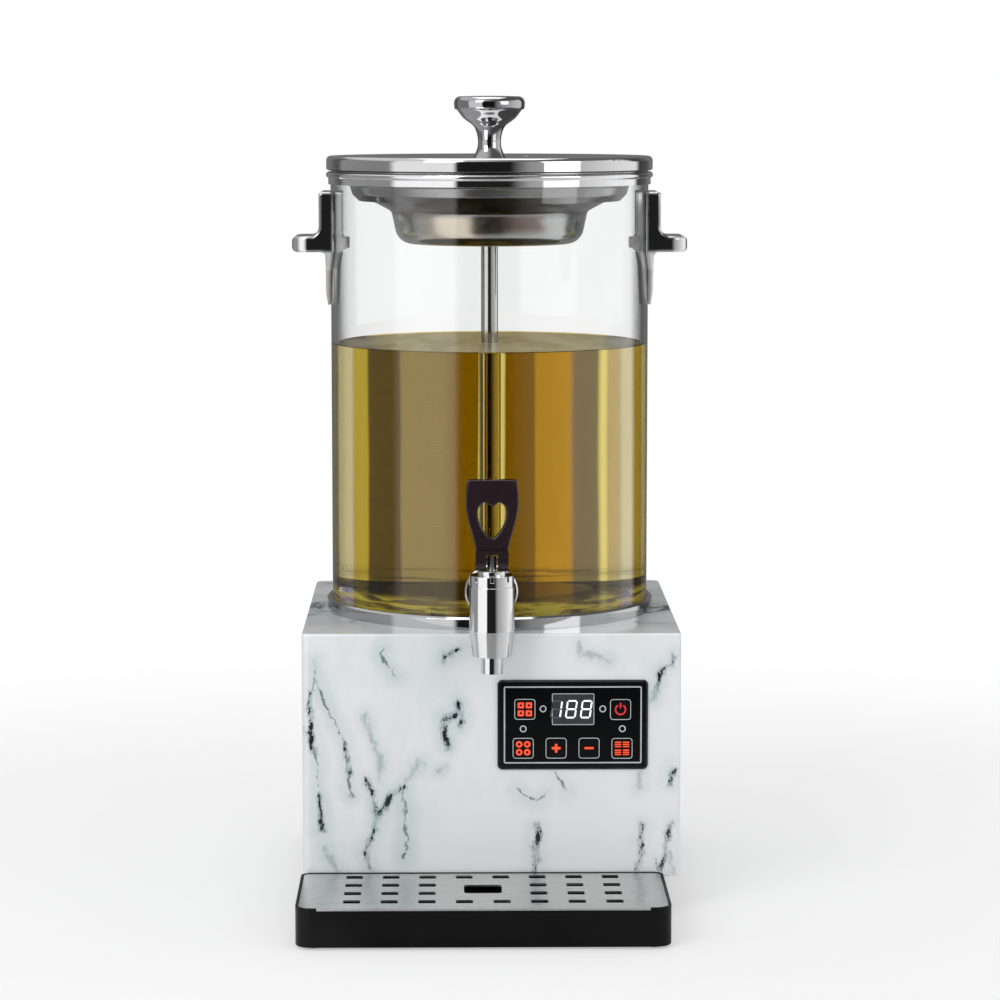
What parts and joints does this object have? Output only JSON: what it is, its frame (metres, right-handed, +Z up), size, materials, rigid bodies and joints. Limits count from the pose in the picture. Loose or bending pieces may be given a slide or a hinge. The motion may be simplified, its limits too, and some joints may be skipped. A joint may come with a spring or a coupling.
{
  "type": "automatic tea maker",
  "caption": "Percolating tea maker: glass jar with chrome lid and lever tap on a square heated base with key panel and drip tray.",
  "frame": {"origin": "middle of the footprint's bounding box, on the surface the feet stand on", "axes": "+Z up; the tap, the keys and the drip tray face -Y; the handles lie along X"},
  "size_m": [0.28, 0.368, 0.5596],
  "materials": {
    "marble_housing": "gloss white with a traditional grey marble pattern",
    "dark_steel": "satin black paint",
    "black_rubber": "matte",
    "clear_silicone": "translucent silicone",
    "steel_hardware": "turned steel",
    "brushed_steel": "brushed stainless",
    "chrome": "polished",
    "jar_glass": "clear",
    "black_gloss": "gloss black",
    "black_matte": "fine texture",
    "key_black": "gloss with orange signs",
    "smoked_window": "smoked clear",
    "indicator_lens": "lens",
    "circuit_board": "solder mask",
    "heater_aluminium": "cast",
    "element_steel": "heat-stained sheath",
    "thermostat_cream": "matte",
    "inlet_brass": "plated"
  },
  "bodies": {
    "root": {"base_housing": "marble_housing", "base_bottom_plate": "dark_steel", "rubber_feet": "black_rubber", "foot_screws": "steel_hardware", "case_screws": "steel_hardware", "mains_inlet": "black_matte", "inlet_pins": "inlet_brass", "panel_bezel": "black_gloss", "panel_fascia": "black_gloss", "display_window": "smoked_window", "display_module": "black_matte", "control_board": "circuit_board", "key_switches": "black_matte", "indicator_lights": "indicator_lens", "power_board": "circuit_board", "jar_base_ring": "chrome", "jar_foot_seal": "clear_silicone", "heating_dish": "brushed_steel", "dish_clamp_ring": "steel_hardware", "hex_nuts": "steel_hardware", "heater_plate": "heater_aluminium", "heating_element": "element_steel", "thermostats": "thermostat_cream", "glass_jar": "jar_glass", "jar_rim_ring": "chrome", "jar_rim_gasket": "clear_silicone", "handle_left": "chrome", "handle_right": "chrome", "handle_bolts": "steel_hardware", "handle_washers": "black_rubber", "tap_body": "chrome", "tap_collar": "chrome", "tap_bonnet": "chrome", "tap_washers": "black_rubber", "tap_nut": "steel_hardware"},
    "brew_unit": {"pan_hanger": "brushed_steel", "brew_pan": "brushed_steel", "pan_sieve": "brushed_steel", "riser_tube": "brushed_steel", "pump_bell": "brushed_steel", "spray_nozzle": "brushed_steel"},
    "spreader": {"spreader_plate": "brushed_steel"},
    "lid": {"lid_shell": "chrome", "lid_liner": "brushed_steel", "lid_seal": "clear_silicone", "lid_knob": "chrome", "knob_screw": "steel_hardware"},
    "tap_valve": {"tap_stem": "steel_hardware", "tap_seat_cup": "clear_silicone"},
    "tap_handle": {"tap_lever": "black_gloss", "tap_lever_pin": "steel_hardware"},
    "tray": {"drip_tray": "black_matte", "tray_pads": "black_rubber"},
    "grille": {"drip_grille": "brushed_steel"},
    "menu_button": {"key_menu": "key_black"},
    "power_button": {"key_power": "key_black"},
    "timer_button": {"key_timer": "key_black"},
    "plus_button": {"key_plus": "key_black"},
    "minus_button": {"key_minus": "key_black"},
    "mode_button": {"key_mode": "key_black"}
  },
  "joints": [
    {"name": "brew_unit_lift", "type": "slide", "parent": "root", "child": "brew_unit", "axis": [0, 0, 1], "range_m": [0, 0.33]},
    {"name": "spreader_lift", "type": "slide", "parent": "brew_unit", "child": "spreader", "axis": [0, 0, 1], "range_m": [0, 0.06]},
    {"name": "lid_lift", "type": "slide", "parent": "spreader", "child": "lid", "axis": [0, 0, 1], "range_m": [0, 0.12]},
    {"name": "tap_stem_lift", "type": "slide", "parent": "root", "child": "tap_valve", "axis": [0, 0, 1], "range_m": [0, 0.0026]},
    {"name": "tap_lever_tilt", "type": "hinge", "parent": "tap_valve", "child": "tap_handle", "pos_m": [0, -0.0985, 0.247], "axis": [1, 0, 0], "range_deg": [0, 60], "stiffness_Nm_per_rad": 0.05, "springref_deg": -11.46},
    {"name": "tray_slide", "type": "slide", "parent": "root", "child": "tray", "axis": [0, -1, 0], "range_m": [0, 0.12]},
    {"name": "grille_lift", "type": "slide", "parent": "tray", "child": "grille", "axis": [0, 0, 1], "range_m": [0, 0.08]},
    {"name": "menu_button_press", "type": "slide", "parent": "root", "child": "menu_button", "axis": [0, 1, 0], "range_m": [0, 0.0006], "stiffness_N_per_m": 1500, "springref_m": -0.0004},
    {"name": "power_button_press", "type": "slide", "parent": "root", "child": "power_button", "axis": [0, 1, 0], "range_m": [0, 0.0006], "stiffness_N_per_m": 1500, "springref_m": -0.0004},
    {"name": "timer_button_press", "type": "slide", "parent": "root", "child": "timer_button", "axis": [0, 1, 0], "range_m": [0, 0.0006], "stiffness_N_per_m": 1500, "springref_m": -0.0004},
    {"name": "plus_button_press", "type": "slide", "parent": "root", "child": "plus_button", "axis": [0, 1, 0], "range_m": [0, 0.0006], "stiffness_N_per_m": 1500, "springref_m": -0.0004},
    {"name": "minus_button_press", "type": "slide", "parent": "root", "child": "minus_button", "axis": [0, 1, 0], "range_m": [0, 0.0006], "stiffness_N_per_m": 1500, "springref_m": -0.0004},
    {"name": "mode_button_press", "type": "slide", "parent": "root", "child": "mode_button", "axis": [0, 1, 0], "range_m": [0, 0.0006], "stiffness_N_per_m": 1500, "springref_m": -0.0004}
  ],
  "couplings": [
    {"joint": "tap_stem_lift", "follows": "tap_lever_tilt", "m_per_rad": 0.00248}
  ]
}
